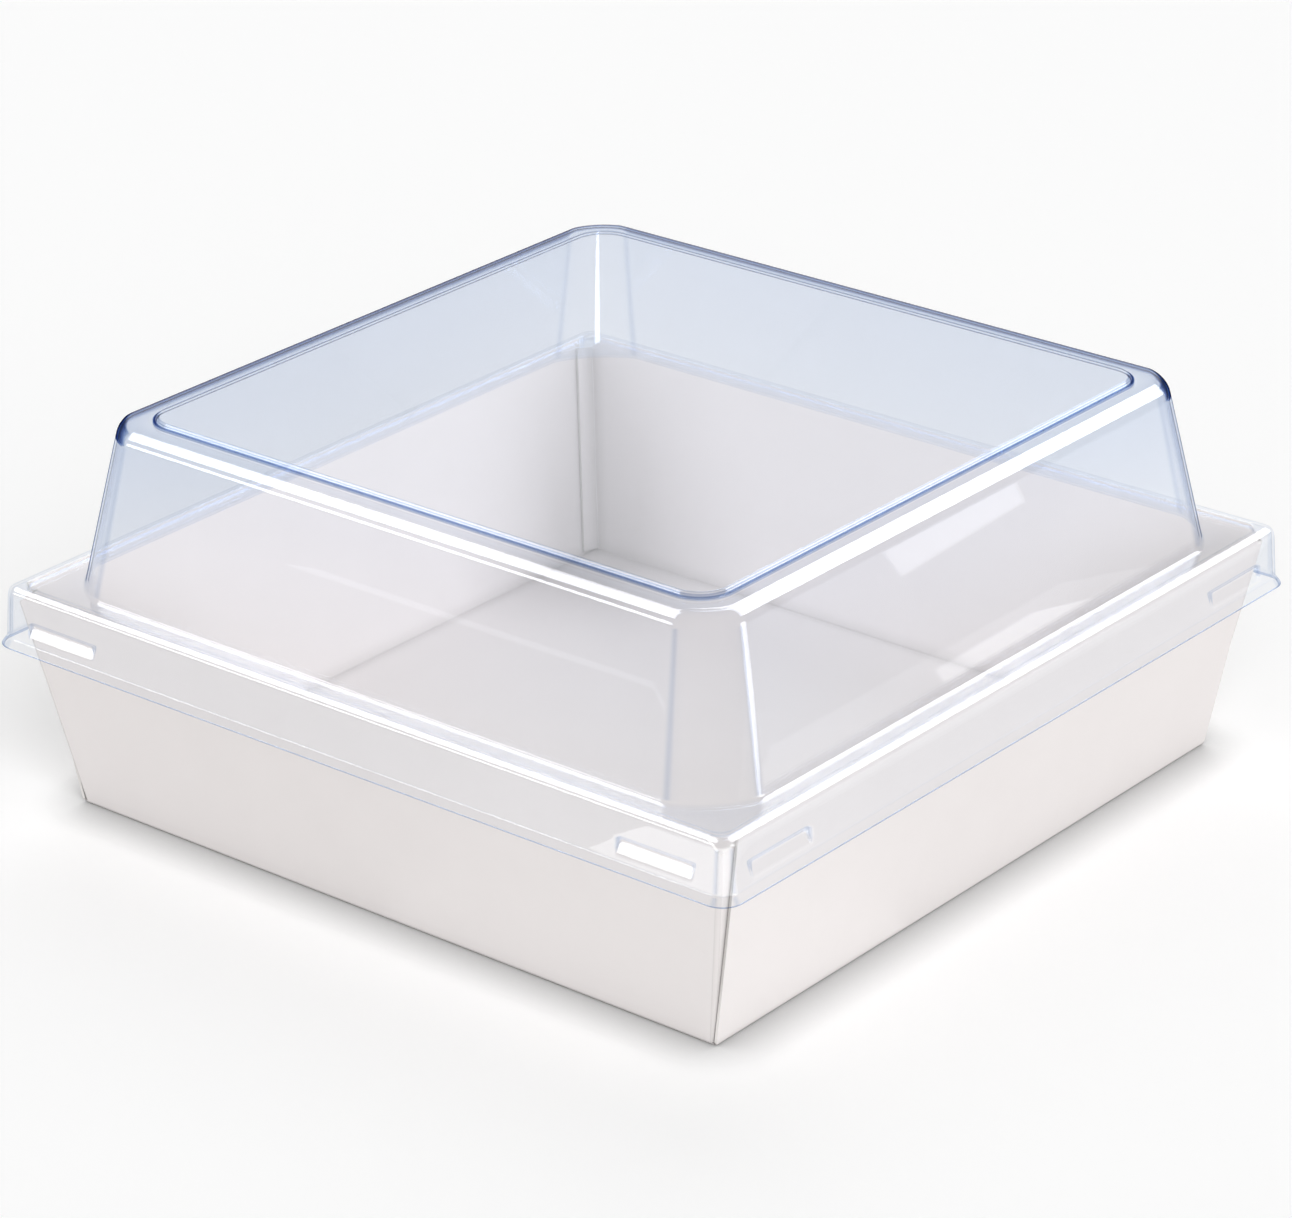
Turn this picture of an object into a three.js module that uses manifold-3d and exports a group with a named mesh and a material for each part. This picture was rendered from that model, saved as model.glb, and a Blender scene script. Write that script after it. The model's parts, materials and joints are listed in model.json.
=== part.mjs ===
// Square sushi box: a paperboard tray with flared walls under a clear, thermoformed dome lid.
// Millimetres, +Z up, origin at the centre of the tray's underside. The front wall faces -Y.

import * as THREE from 'three';
import { mergeVertices } from 'three/addons/utils/BufferGeometryUtils.js';
import Module from 'manifold-3d';

// Tray, measured over its outer faces.
const BASE_WIDTH = 140;
const RIM_WIDTH = 154.4;
const TRAY_HEIGHT = 41;
const BOARD = 0.5;
// Play left at each crease and glued lap between two panels.
const CREASE_GAP = 0.3;
// The side walls stop short of the corner at the rim and show a sliver of the tab behind them.
const CORNER_REVEAL = 3.6;
const TAB_WIDTH = 5;
// The tabs end this far below the rim.
const TAB_TRIM = 2.4;
// The folded walls have clipped top corners that fit the lid's rounded corners.
const CORNER_CLIP = 2.2;

// Lid: sheet thickness and the fits that seat it on the tray's rim.
const SHEET = 0.45;
const LID_REST_GAP = 0.3;
const RIM_CLEARANCE = 0.6;
const CHANNEL_CLEARANCE = 0.3;
const NUB_CLEARANCE = 0.15;

// Lid heights, from the top of the flange down and up.
const LEDGE_DROP = 0.6;
const DOME_HEIGHT = 29.6;
const PLATEAU_RISE = 0.7;
const SKIRT_DROP = 9.25;
const LIP_DROP = 1.4;

// Lid widths, each taken from its outer neighbour.
const STEP_RUN = 0.3;
const LEDGE_WIDTH = 3;
const DOME_INSET = 6.4;
const SHOULDER_WIDTH = 5.4;
const PLATEAU_RUN = 0.6;
const SKIRT_FLARE = 0.65;
const LIP_FLARE = 1;

// How far the lid's corners reach along each side, in plan.
const PLATEAU_CORNER = 5.5;
const DOME_TOP_CORNER = 8;
const DOME_BASE_CORNER = 12;
const STEP_CORNER = 2.2;
const SKIRT_CORNER = 2.4;
// Each corner is a broad bend with a tight bend at both ends. The share is of the corner's length.
const TIGHT_SHARE = 0.12;
const TIGHT_TURN = THREE.MathUtils.degToRad(24);

// Fillets along the lid's section.
const PLATEAU_FILLET = 0.6;
const DOME_TOP_FILLET = 3.2;
const DOME_BASE_FILLET = 1.8;
const STEP_FILLET = 0.35;
const FLANGE_FILLET = 1.6;
const LIP_FILLET = 0.5;

// Snap nubs: dents in the skirt, two on each side, near the corners.
const NUB_WIDTH = 14.8;
const NUB_HEIGHT = 2.5;
const NUB_RAISE = 1.4;
const NUB_CORNER = 0.9;
const NUB_MARGIN = 4;
const NUB_END_SLOPE = 0.6;
const NUB_TOP_SLOPE = 0.5;
const NUB_BOTTOM_SLOPE = 1.1;

// How finely the round stretches are drawn.
const TIGHT_STEPS = 3;
const BROAD_STEPS = 4;
const NUB_STEPS = 2;
const FINE_FILLET_STEPS = 2;
const WIDE_FILLET_STEPS = 5;

// How far cutting solids run past what they cut.
const CUT_MARGIN = 1;

const QUARTER_TURN = Math.PI / 2;
const SIDES = 4;
const UP = new THREE.Vector3(0, 0, 1);

const baseHalf = BASE_WIDTH / 2;
const rimHalf = RIM_WIDTH / 2;
const lean = Math.atan2(rimHalf - baseHalf, TRAY_HEIGHT);
const slant = TRAY_HEIGHT / Math.cos(lean);
const boardAcross = BOARD / Math.cos(lean);
const lapAcross = (BOARD + CREASE_GAP) / Math.cos(lean);

const boardMaterial = new THREE.MeshStandardMaterial({ color: 0xf0eeec, roughness: 0.8, metalness: 0 });
const sheetMaterial = new THREE.MeshStandardMaterial({
  color: 0xdde6f4,
  roughness: 0.06,
  metalness: 0,
  transparent: true,
  opacity: 0.3,
});

const wasm = await Module();
wasm.setup();

function toSolid(geometry) {
  const bare = geometry.clone();
  bare.deleteAttribute('normal');
  bare.deleteAttribute('uv');
  const merged = mergeVertices(bare);
  const vertProperties = new Float32Array(merged.attributes.position.array);
  const triVerts = new Uint32Array(merged.index.array);
  return new wasm.Manifold(new wasm.Mesh({ numProp: 3, vertProperties, triVerts }));
}

function toGeometry(solid) {
  const mesh = solid.getMesh();
  const geometry = new THREE.BufferGeometry();
  geometry.setAttribute('position', new THREE.BufferAttribute(new Float32Array(mesh.vertProperties), 3));
  geometry.setIndex(new THREE.BufferAttribute(new Uint32Array(mesh.triVerts), 1));
  geometry.computeVertexNormals();
  return geometry;
}

// A closed solid through a row of outlines with equal point counts. Each outline runs
// counter-clockwise when the row is seen from its last outline.
function loft(outlines) {
  const count = outlines[0].length;
  const points = outlines.flat();
  const index = [];
  for (let row = 0; row + 1 < outlines.length; row += 1) {
    for (let i = 0; i < count; i += 1) {
      const next = (i + 1) % count;
      const a = row * count + i;
      const b = row * count + next;
      index.push(a, b, b + count, a, b + count, a + count);
    }
  }
  const middle = (outline) => outline
    .reduce((sum, point) => sum.add(point), new THREE.Vector3())
    .divideScalar(count);
  const first = points.push(middle(outlines[0])) - 1;
  const last = points.push(middle(outlines.at(-1))) - 1;
  const lastRow = (outlines.length - 1) * count;
  for (let i = 0; i < count; i += 1) {
    const next = (i + 1) % count;
    index.push(first, next, i);
    index.push(last, lastRow + i, lastRow + next);
  }
  const geometry = new THREE.BufferGeometry().setFromPoints(points);
  geometry.setIndex(index);
  return geometry;
}

// One corner in plan, as points from (1, 0) to (0, 1).
function cornerCurve() {
  const tight = { share: TIGHT_SHARE, turn: TIGHT_TURN, steps: TIGHT_STEPS };
  const broad = { share: 1 - 2 * TIGHT_SHARE, turn: QUARTER_TURN - 2 * TIGHT_TURN, steps: BROAD_STEPS };
  const points = [new THREE.Vector2()];
  let heading = QUARTER_TURN;
  for (const { share, turn, steps } of [tight, broad, tight]) {
    for (let step = 0; step < steps; step += 1) {
      const middle = heading + turn / steps / 2;
      const stride = new THREE.Vector2(Math.cos(middle), Math.sin(middle)).multiplyScalar(share / steps);
      points.push(points.at(-1).clone().add(stride));
      heading += turn / steps;
    }
  }
  const reach = points.at(-1).y;
  return points.map((point) => new THREE.Vector2(1 + point.x / reach, point.y / reach));
}

// A square outline with round corners whose centres lie at the given distance from the axes.
function roundedSquare(half, centre, z) {
  const radius = half - centre;
  const place = (share) => centre + radius * share;
  const corner = cornerCurve().map(({ x, y }) => new THREE.Vector3(place(x), place(y), z));
  const outline = [];
  for (let side = 0; side < SIDES; side += 1) {
    outline.push(...corner.map((point) => point.clone().applyAxisAngle(UP, side * QUARTER_TURN)));
  }
  return outline;
}

// Rounds each inner corner of a section with its fillet and keeps that corner's centre distance.
function filletSection(corners) {
  const section = [];
  corners.forEach((corner, i) => {
    if (!corner.fillet) {
      section.push({ half: corner.half, z: corner.z, centre: corner.centre });
      return;
    }
    const at = new THREE.Vector2(corner.half, corner.z);
    const before = new THREE.Vector2(corners[i - 1].half, corners[i - 1].z).sub(at).normalize();
    const after = new THREE.Vector2(corners[i + 1].half, corners[i + 1].z).sub(at).normalize();
    const cut = corner.fillet / Math.tan(Math.acos(before.dot(after)) / 2);
    const start = at.clone().addScaledVector(before, cut);
    const end = at.clone().addScaledVector(after, cut);
    const bend = new THREE.QuadraticBezierCurve(start, at, end);
    bend.getPoints(corner.steps).forEach((point) => {
      section.push({ half: point.x, z: point.y, centre: corner.centre });
    });
  });
  return section;
}

// Moves a section square to itself by the sheet's thickness, towards the inside of the lid.
function insetSection(section, thickness) {
  const direction = (from, to) => new THREE.Vector2(to.half - from.half, to.z - from.z).normalize();
  return section.map((point, i) => {
    const into = direction(section[Math.max(i - 1, 0)], section[Math.max(i, 1)]);
    const lastStart = section.length - 2;
    const out = direction(section[Math.min(i, lastStart)], section[Math.min(i, lastStart) + 1]);
    const along = into.clone().add(out).normalize();
    const reach = thickness / along.dot(into);
    return { half: point.half + along.y * reach, z: point.z - along.x * reach, centre: point.centre };
  });
}

// Lid section from the edge of the raised plateau down to the end of the flared lip.
function lidCorners() {
  const flangeTop = TRAY_HEIGHT + LID_REST_GAP + SHEET;
  const ledge = flangeTop - LEDGE_DROP;
  const shoulder = ledge + DOME_HEIGHT;
  const top = shoulder + PLATEAU_RISE;
  const skirtFoot = flangeTop - SKIRT_DROP;
  const skirtHalf = rimHalf + RIM_CLEARANCE + SHEET;
  const stepHalf = rimHalf - boardAcross - CHANNEL_CLEARANCE - SHEET;
  const stepFoot = stepHalf - STEP_RUN;
  const domeBase = stepFoot - LEDGE_WIDTH;
  const domeTop = domeBase - DOME_INSET;
  const plateauFoot = domeTop - SHOULDER_WIDTH;
  const plateau = plateauFoot - PLATEAU_RUN;
  const plateauCentre = plateau - PLATEAU_CORNER;
  const stepCentre = stepFoot - STEP_CORNER;
  const skirtCentre = skirtHalf - SKIRT_CORNER;
  const footHalf = skirtHalf + SKIRT_FLARE;
  const lipHalf = footHalf + LIP_FLARE;
  const fine = FINE_FILLET_STEPS;
  const wide = WIDE_FILLET_STEPS;
  const domeTopCentre = domeTop - DOME_TOP_CORNER;
  const domeBaseCentre = domeBase - DOME_BASE_CORNER;
  return [
    { half: plateauCentre + PLATEAU_CORNER / 2, z: top, centre: plateauCentre },
    { half: plateau, z: top, fillet: PLATEAU_FILLET, steps: fine, centre: plateauCentre },
    { half: plateauFoot, z: shoulder, fillet: PLATEAU_FILLET, steps: fine, centre: plateauCentre },
    { half: domeTop, z: shoulder, fillet: DOME_TOP_FILLET, steps: wide, centre: domeTopCentre },
    { half: domeBase, z: ledge, fillet: DOME_BASE_FILLET, steps: wide, centre: domeBaseCentre },
    { half: stepFoot, z: ledge, fillet: STEP_FILLET, steps: fine, centre: stepCentre },
    { half: stepHalf, z: flangeTop, fillet: STEP_FILLET, steps: fine, centre: stepCentre },
    { half: skirtHalf, z: flangeTop, fillet: FLANGE_FILLET, steps: wide, centre: skirtCentre },
    { half: footHalf, z: skirtFoot, fillet: LIP_FILLET, steps: fine, centre: skirtCentre },
    { half: lipHalf, z: skirtFoot - LIP_DROP, centre: skirtCentre },
  ];
}

// The wedge that presses one nub into the skirt, at the front side. Growing it by the sheet's
// thickness gives the wedge that presses the inner face.
function nubWedge(across, grow) {
  const flangeTop = TRAY_HEIGHT + LID_REST_GAP + SHEET;
  const floor = rimHalf + NUB_CLEARANCE + SHEET;
  const bottom = flangeTop - SKIRT_DROP + NUB_RAISE;
  const open = RIM_CLEARANCE + SKIRT_FLARE + LIP_FLARE + CUT_MARGIN / 2;
  const outlineAt = (depth) => {
    const shape = new THREE.Path();
    const side = NUB_WIDTH / 2 + depth * NUB_END_SLOPE + grow * Math.hypot(1, NUB_END_SLOPE);
    const low = bottom - depth * NUB_BOTTOM_SLOPE - grow * Math.hypot(1, NUB_BOTTOM_SLOPE);
    const high = bottom + NUB_HEIGHT + depth * NUB_TOP_SLOPE + grow * Math.hypot(1, NUB_TOP_SLOPE);
    const radius = NUB_CORNER + grow;
    shape.moveTo(-side, low);
    shape.lineTo(side, low);
    shape.absarc(side - radius, high - radius, radius, 0, QUARTER_TURN);
    shape.absarc(radius - side, high - radius, radius, QUARTER_TURN, 2 * QUARTER_TURN);
    return shape.getPoints(NUB_STEPS).map((p) => new THREE.Vector3(across + p.x, -floor - depth, p.y));
  };
  return loft([outlineAt(-grow), outlineAt(open)]);
}

function nubWedges(grow) {
  const skirtHalf = rimHalf + RIM_CLEARANCE + SHEET;
  const mouthHalf = NUB_WIDTH / 2 + NUB_MARGIN;
  const place = skirtHalf - SKIRT_CORNER - mouthHalf;
  const wedges = [];
  for (let side = 0; side < SIDES; side += 1) {
    for (const across of [-place, place]) {
      wedges.push(toSolid(nubWedge(across, grow).rotateZ(side * QUARTER_TURN)));
    }
  }
  return wedges;
}

function makeLid() {
  const outerSection = filletSection(lidCorners());
  const innerSection = insetSection(outerSection, SHEET);
  const end = innerSection.at(-1);
  const beforeEnd = innerSection.at(-2);
  const stretch = CUT_MARGIN / (beforeEnd.z - end.z);
  innerSection.push({
    half: end.half + (end.half - beforeEnd.half) * stretch,
    z: end.z - CUT_MARGIN,
    centre: end.centre,
  });
  const solidOf = (section) => {
    const outlines = section.map((point) => roundedSquare(point.half, point.centre, point.z));
    return toSolid(loft(outlines.reverse()));
  };
  const press = (solid, wedges) => wedges.reduce((rest, wedge) => rest.subtract(wedge), solid);
  const outer = press(solidOf(outerSection), nubWedges(0));
  const inner = press(solidOf(innerSection), nubWedges(SHEET));
  const lid = new THREE.Mesh(toGeometry(outer.subtract(inner)), sheetMaterial);
  lid.name = 'lid';
  return lid;
}

function makeBase() {
  const width = 2 * (baseHalf - boardAcross - CREASE_GAP);
  const base = new THREE.Mesh(new THREE.BoxGeometry(width, width, BOARD), boardMaterial);
  base.name = 'tray_base';
  base.position.z = BOARD / 2;
  return base;
}

// A panel cut from board and stood on the front crease, leaning outwards. Depth is how far its
// outer face lies behind the tray's outer face.
function makePanel(name, outline, depth) {
  const shape = new THREE.Shape(outline.map(([x, y]) => new THREE.Vector2(x, y)));
  const geometry = new THREE.ExtrudeGeometry(shape, { depth: BOARD, bevelEnabled: false });
  const panel = new THREE.Mesh(geometry, boardMaterial);
  const inset = depth + BOARD;
  panel.name = name;
  panel.rotation.x = QUARTER_TURN + lean;
  panel.position.set(0, inset * Math.cos(lean) - baseHalf, inset * Math.sin(lean));
  return panel;
}

// Front and back walls end at the folds that carry the corner tabs.
function makeFoldedWall(name) {
  const foot = baseHalf - lapAcross;
  const top = rimHalf - lapAcross;
  const clipFoot = top - CORNER_CLIP * Math.tan(lean);
  const half = [
    [foot, 0],
    [clipFoot, slant - CORNER_CLIP],
    [top - CORNER_CLIP, slant],
  ];
  const mirrored = half.map(([x, y]) => [-x, y]).reverse();
  return makePanel(name, [...half, ...mirrored], 0);
}

// Left and right walls lap over the tabs, and their ends draw back from the corner towards the rim.
function makeLappedWall(name) {
  const top = rimHalf - CORNER_REVEAL;
  const outline = [[-baseHalf, 0], [baseHalf, 0], [top, slant], [-top, slant]];
  return makePanel(name, outline, 0);
}

// A tab follows the corner's slope behind one end of a lapped wall.
function makeTab(name, end) {
  const cornerAt = (rise) => baseHalf + rise * Math.sin(lean) - lapAcross;
  const foot = lapAcross;
  const top = slant - TAB_TRIM;
  const edge = TAB_WIDTH - lapAcross;
  const outline = [
    [end * (cornerAt(foot) - edge), foot],
    [end * cornerAt(foot), foot],
    [end * cornerAt(top), top],
    [end * (cornerAt(top) - edge), top],
  ];
  return makePanel(name, outline, BOARD + CREASE_GAP);
}

function sideGroup(turns, panels) {
  const group = new THREE.Group();
  group.rotation.z = turns * QUARTER_TURN;
  group.add(...panels);
  return group;
}

const box = new THREE.Group();
box.add(makeBase());
box.add(sideGroup(0, [makeFoldedWall('tray_wall_front')]));
box.add(sideGroup(1, [
  makeLappedWall('tray_wall_right'),
  makeTab('corner_tab_front_right', -1),
  makeTab('corner_tab_back_right', 1),
]));
box.add(sideGroup(2, [makeFoldedWall('tray_wall_back')]));
box.add(sideGroup(3, [
  makeLappedWall('tray_wall_left'),
  makeTab('corner_tab_back_left', -1),
  makeTab('corner_tab_front_left', 1),
]));
box.add(makeLid());

export default box;
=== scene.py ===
"""Looks of the square sushi box: a folded paperboard tray under a clear thermoformed dome lid.

Metres, +Z up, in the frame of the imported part: origin at the centre of the tray's underside, front at -Y.
"""

import json
import math
from collections import namedtuple

import bmesh
import bpy
from mathutils import Matrix, Vector


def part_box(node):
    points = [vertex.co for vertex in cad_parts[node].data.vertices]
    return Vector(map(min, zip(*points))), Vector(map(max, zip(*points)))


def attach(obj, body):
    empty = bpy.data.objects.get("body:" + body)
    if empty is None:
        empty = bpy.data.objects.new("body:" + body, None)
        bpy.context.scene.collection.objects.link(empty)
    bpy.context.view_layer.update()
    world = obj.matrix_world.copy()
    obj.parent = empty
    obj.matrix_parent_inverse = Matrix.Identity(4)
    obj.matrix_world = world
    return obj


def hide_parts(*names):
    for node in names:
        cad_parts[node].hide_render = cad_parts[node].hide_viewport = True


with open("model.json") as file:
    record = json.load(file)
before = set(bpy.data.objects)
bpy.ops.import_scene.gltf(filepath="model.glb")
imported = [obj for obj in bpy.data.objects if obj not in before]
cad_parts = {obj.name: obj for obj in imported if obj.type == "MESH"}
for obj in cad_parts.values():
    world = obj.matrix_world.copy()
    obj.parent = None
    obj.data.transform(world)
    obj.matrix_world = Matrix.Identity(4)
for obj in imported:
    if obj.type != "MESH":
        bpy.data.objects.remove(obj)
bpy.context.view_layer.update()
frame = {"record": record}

MM = 0.001
QUARTER_TURN = math.pi / 2
SIDES = 4
WELD = 1e-7
TRAY_NODES = frame["record"]["behaviour"]["bodies"]["tray"]

# Tray sizes, over its outer faces. The rim's height is that of the outer top edge.
BASE_HALF = 70 * MM
RIM_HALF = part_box("tray_wall_right")[1].x
RIM_HEIGHT = 41 * MM
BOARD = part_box("tray_base")[1].z
LEAN = math.atan2(RIM_HALF - BASE_HALF, RIM_HEIGHT)
SLANT = RIM_HEIGHT / math.cos(LEAN)
LAP_GAP = 0.08 * MM
CORNER_REVEAL = RIM_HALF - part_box("tray_wall_right")[1].y
TAB_WIDTH = 5 * MM
TAB_TRIM = 2.4 * MM
CORNER_CLIP = 2.2 * MM
CREASE_RADIUS = 0.5 * MM
CREASE_STEPS = 5

# Materials of the tray, in their order: the board's face, its cut edge and its creases, painted darker as
# shade.
FACE = 0
CUT_EDGE = 1
CREASE = 2

# Lid sizes. Heights and widths of its section run from the flange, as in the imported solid.
SHEET = 0.45 * MM
LID_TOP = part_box("lid")[1].z
LIP_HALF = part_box("lid")[1].x
PLATEAU_RISE = 0.7 * MM
DOME_HEIGHT = 29.6 * MM
LEDGE_DROP = 0.6 * MM
SKIRT_DROP = 9.25 * MM
LIP_DROP = 1.4 * MM
LIP_FLARE = 1 * MM
SKIRT_FLARE = 0.65 * MM
FLANGE_WIDTH = 2.31 * MM
STEP_RUN = 0.3 * MM
LEDGE_WIDTH = 3 * MM
DOME_INSET = 6.4 * MM
SHOULDER_WIDTH = 5.4 * MM
PLATEAU_RUN = 0.6 * MM
SHOULDER_HEIGHT = LID_TOP - PLATEAU_RISE
LEDGE_HEIGHT = SHOULDER_HEIGHT - DOME_HEIGHT
FLANGE_HEIGHT = LEDGE_HEIGHT + LEDGE_DROP
SKIRT_FOOT = FLANGE_HEIGHT - SKIRT_DROP
FOOT_HALF = LIP_HALF - LIP_FLARE
SKIRT_HALF = FOOT_HALF - SKIRT_FLARE
STEP_HALF = SKIRT_HALF - FLANGE_WIDTH
STEP_FOOT = STEP_HALF - STEP_RUN
DOME_BASE = STEP_FOOT - LEDGE_WIDTH
DOME_TOP = DOME_BASE - DOME_INSET
PLATEAU_FOOT = DOME_TOP - SHOULDER_WIDTH
PLATEAU_HALF = PLATEAU_FOOT - PLATEAU_RUN

# How far the lid's corners reach along each side in plan, and the fillets along its section.
PLATEAU_CORNER = 5.5 * MM
DOME_TOP_CORNER = 8 * MM
DOME_BASE_CORNER = 12 * MM
STEP_CORNER = 2.2 * MM
SKIRT_CORNER = 2.4 * MM
PLATEAU_FILLET = 0.6 * MM
DOME_TOP_FILLET = 3.2 * MM
DOME_BASE_FILLET = 0.7 * MM
STEP_FILLET = 0.35 * MM
FLANGE_FILLET = 1.6 * MM
LIP_FILLET = 0.5 * MM
LEAST_FILLET = 0.08 * MM
FILLET_STEPS = 8

# Rows next to a fillet keep the straight runs flat: how far off they are, and the most of a run they take.
GUARD = 0.2 * MM
GUARD_SHARE = 1 / 3

# Bends of a dome corner in plan, as (share of its length, turn, steps): a broad one, and a tight one at
# each end.
TIGHT_BEND = (0.12, math.radians(24), 6)
BROAD_BEND = (0.76, math.radians(42), 10)

# The corner of the section where the skirt starts, counted from the lip, and the depth of what is pressed.
SKIRT_START = -3
SKIRT_DEPTH = 2 * SHEET

# Snap nubs: dents in the skirt, two on each side, and the rows of points that shape them.
NUB_WIDTH = 14.8 * MM
NUB_MARGIN = 4 * MM
NUB_CLEARANCE = 0.15 * MM
NUB_PLACE = SKIRT_HALF - SKIRT_CORNER - NUB_WIDTH / 2 - NUB_MARGIN
NUB_FLOOR = RIM_HALF + NUB_CLEARANCE + SHEET
NUB_LOW = SKIRT_FOOT + 3.1 * MM
NUB_HIGH = NUB_LOW + 0.5 * MM
NUB_END_SLOPE = 0.3
NUB_TOP_SLOPE = 0.35
NUB_BOTTOM_SLOPE = 2
NUB_ROUNDING = 0.1 * MM
NUB_ROWS = 24
NUB_ROWS_LOW = SKIRT_FOOT + 0.4 * MM
NUB_ROWS_HIGH = NUB_HIGH + 0.7 * MM

# Places along half a side where the lid's rings have points: shares of its length, and millimetres from
# the middle of a nub.
PLAIN_SHARES = (0.3, 0.55, 0.72, 1)
NUB_OFFSETS = (8.2, 7.95, 7.75, 7.58, 7.42, 7.25, 7, 6.6, 3.6)

# How strongly the sheet's tint gathers in a bend that is met at a slant. It sets in over the first steps
# of a fillet.
FULL_SLANT = 1
SLIGHT_SLANT = 0.2
TIGHT_SLANT = 0.26
BROAD_SLANT = 0.26
SLANT_STEPS = 3

# How sharply the sheet is folded along its section, in the dome's tight bends and round its nubs.
EDGE_FOLD = 0.3
EDGE_FOOT_FOLD = 0.9
BASE_FOLD = 0.02
STEP_FOLD = 0.15
FOOT_FOLD = 0.03
LIP_FOLD = 0.5
CORNER_FOLDS = (0.01, 0.04, 0.08, 0.08, 0.04, 0.01)
NUB_EDGE_FOLD = 0.15
SHORT_RUN = 1 * MM

# How deep the sheet's tint is: the dome's wall is drawn out unevenly, and the rim is thin.
PLATEAU_DEPTH = 0.7
WALL_TOP_DEPTH = 1.25
WALL_FOOT_DEPTH = 0.6
RIM_DEPTH = 0.4

# A corner of the lid's section, and a row of points along it.
Corner = namedtuple("Corner", "half height fillet centre roundness slant fold depth")
Row = namedtuple("Row", "half height centre roundness slant fold depth on_wall")

# Clear sheet: what one face lets through square on, and what it takes from the light that falls inside.
SHEET_TINT = (0.945, 0.957, 0.977)
SHEET_SHADE = (0.996, 0.997, 0.998)

# The way through the sheet is 1 square on and grows with its slant, up to an end when it is met edge on.
SQUARE_BLEND = 0.5
EDGE_ON = 1.01

# Where a bend makes the way longer than SLANT_START, its tint gathers with this gain. A full fold is as
# long a way as FOLD_PATH, and takes the share FOLD_DULL of the gloss.
SLANT_START = 1.8
SLANT_GAIN = 26
FOLD_PATH = 24
FOLD_DULL = 0.85

# The sheet's gloss square on and edge on, its fine haze, and the shallow ripples from its forming.
MIRROR_LEAST = 0.045
MIRROR_MOST = 0.9
MIRROR_POWER = 5
HAZE_SCALE = 260
HAZE_DETAIL = 3
HAZE_ROUGHNESS = (0.006, 0.014)
RIPPLE_SCALE = 38
RIPPLE_DETAIL = 0
RIPPLE_STRENGTH = 1
RIPPLE_HEIGHT = 0.008 * MM
SHEET_CROSSINGS = 32

# Board: the clouded colours of its face, cut edge and creases, and the scale and height of their fibres.
FACE_COLOURS = ((0.875, 0.835, 0.826), (0.905, 0.865, 0.856))
CUT_EDGE_COLOURS = ((0.86, 0.825, 0.80), (0.93, 0.90, 0.88))
# The creases' colours are darker: painted shade in the folds.
CREASE_SHADE_COLOURS = ((0.75, 0.716, 0.707), (0.79, 0.754, 0.744))
FACE_FIBRES = 1800
CUT_EDGE_FIBRES = 4200
FACE_RELIEF = 0.02 * MM
CUT_EDGE_RELIEF = 0.05 * MM
FIBRE_DETAIL = 6
FIBRE_CONTRAST = 0.65
RELIEF_STRENGTH = 0.35
CLOUD_SCALE = 90
CLOUD_DETAIL = 4
BOARD_ROUGHNESS = (0.5, 0.72)
BOARD_IOR = 1.45
BOARD_SPECULAR = 0.15
PLAIN_CONTRAST = 0.5

# Painted shade in the tray's inner corners, in narrow nooks and where the box meets the floor: how far it
# reaches, and what is left of the colour in a hollow where the share DEEP_HOLLOW of the sky is open.
CORNER_REACH = 40 * MM
CORNER_DARK = 0.64
CORNER_START = 30 * MM
CORNER_STOP = 60 * MM
NOOK_REACH = 3 * MM
NOOK_DARK = 0.78
CONTACT_REACH = 10 * MM
CONTACT_DARK = 0.52
DEEP_HOLLOW = 0.42
HOLLOW_SAMPLES = 12

# Floor: its colour as light meets it and as it is seen.
FLOOR_SIZE = 8
FLOOR_LIT = (0.62, 0.62, 0.62)
FLOOR_SEEN = (0.96, 0.96, 0.96)
FLOOR_GLOW = 0.09

# Light levels. At a level of 1 a matt surface facing the sky shows its colour as written. Angles of all
# lights are in degrees.
Lamp = namedtuple("Lamp", "name level azimuth elevation softness")
SKY_SIDES = 1.16
SKY_TOP = 0.2
SKY_FALL = 2
LAMPS = (
    Lamp("key", 0.53, 54, 33, 50),
    Lamp("rear", 0.12, 215, 42, 40),
)

# Lights that show only as reflections in the lid. Curved strips draw the white lines along its fillets.
Strip = namedtuple("Strip", "name pole start stop tilt level")
STRIP_STEPS = 24
STRIP_SPREAD = 12
STRIP_DISTANCE = 1.2
STRIPS = (
    Strip("left_strip", Vector((-1, 0, 0)), 74, 132, 54.8, 8),
    Strip("back_strip", Vector((0, 1, 0)), 126, 38, 45, 8),
)

# Cards that face the lid, and cards that lie on the floor.
Card = namedtuple("Card", "name azimuth elevation distance width height level")
FloorCard = namedtuple("FloorCard", "name x y width depth level")
CARD_LIFT = 1 * MM
CARDS = (
    Card("sill_card", 323, 13, 1.2, 0.42, 0.2, 8),
    Card("right_card", 106, -1, 0.45, 0.18, 0.12, 7),
    Card("behind_card", 219, 24, 1.2, 0.9, 0.4, 0.2),
)
FLOOR_CARDS = (
    FloorCard("front_floor_card", 0, -0.2, 0.5, 0.12, 0.2),
    FloorCard("right_floor_card", 0.2, 0, 0.12, 0.5, 0.4),
    FloorCard("cone_card", 0.45, -0.46, 0.9, 0.88, 1.5),
    FloorCard("right_wall_card", 0.36, 0.28, 0.3, 0.45, 0.6),
    FloorCard("front_streak", -0.17, -0.56, 0.5, 0.015, 0.6),
)

# Two window panes, by their corners in millimetres.
Pane = namedtuple("Pane", "name corners level")
PANES = (
    Pane(
        "upper_pane",
        ((198, 124.6, 41.6), (198.9, 129.1, 33.6), (194.4, 167.6, 36.3), (193.4, 165.2, 43.4)),
        2.9,
    ),
    Pane(
        "lower_pane",
        ((202.1, 133.2, 12.6), (202.5, 135.2, 9), (197.4, 182.6, 10.6), (198.7, 164.2, 13.9)),
        3.2,
    ),
)

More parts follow.
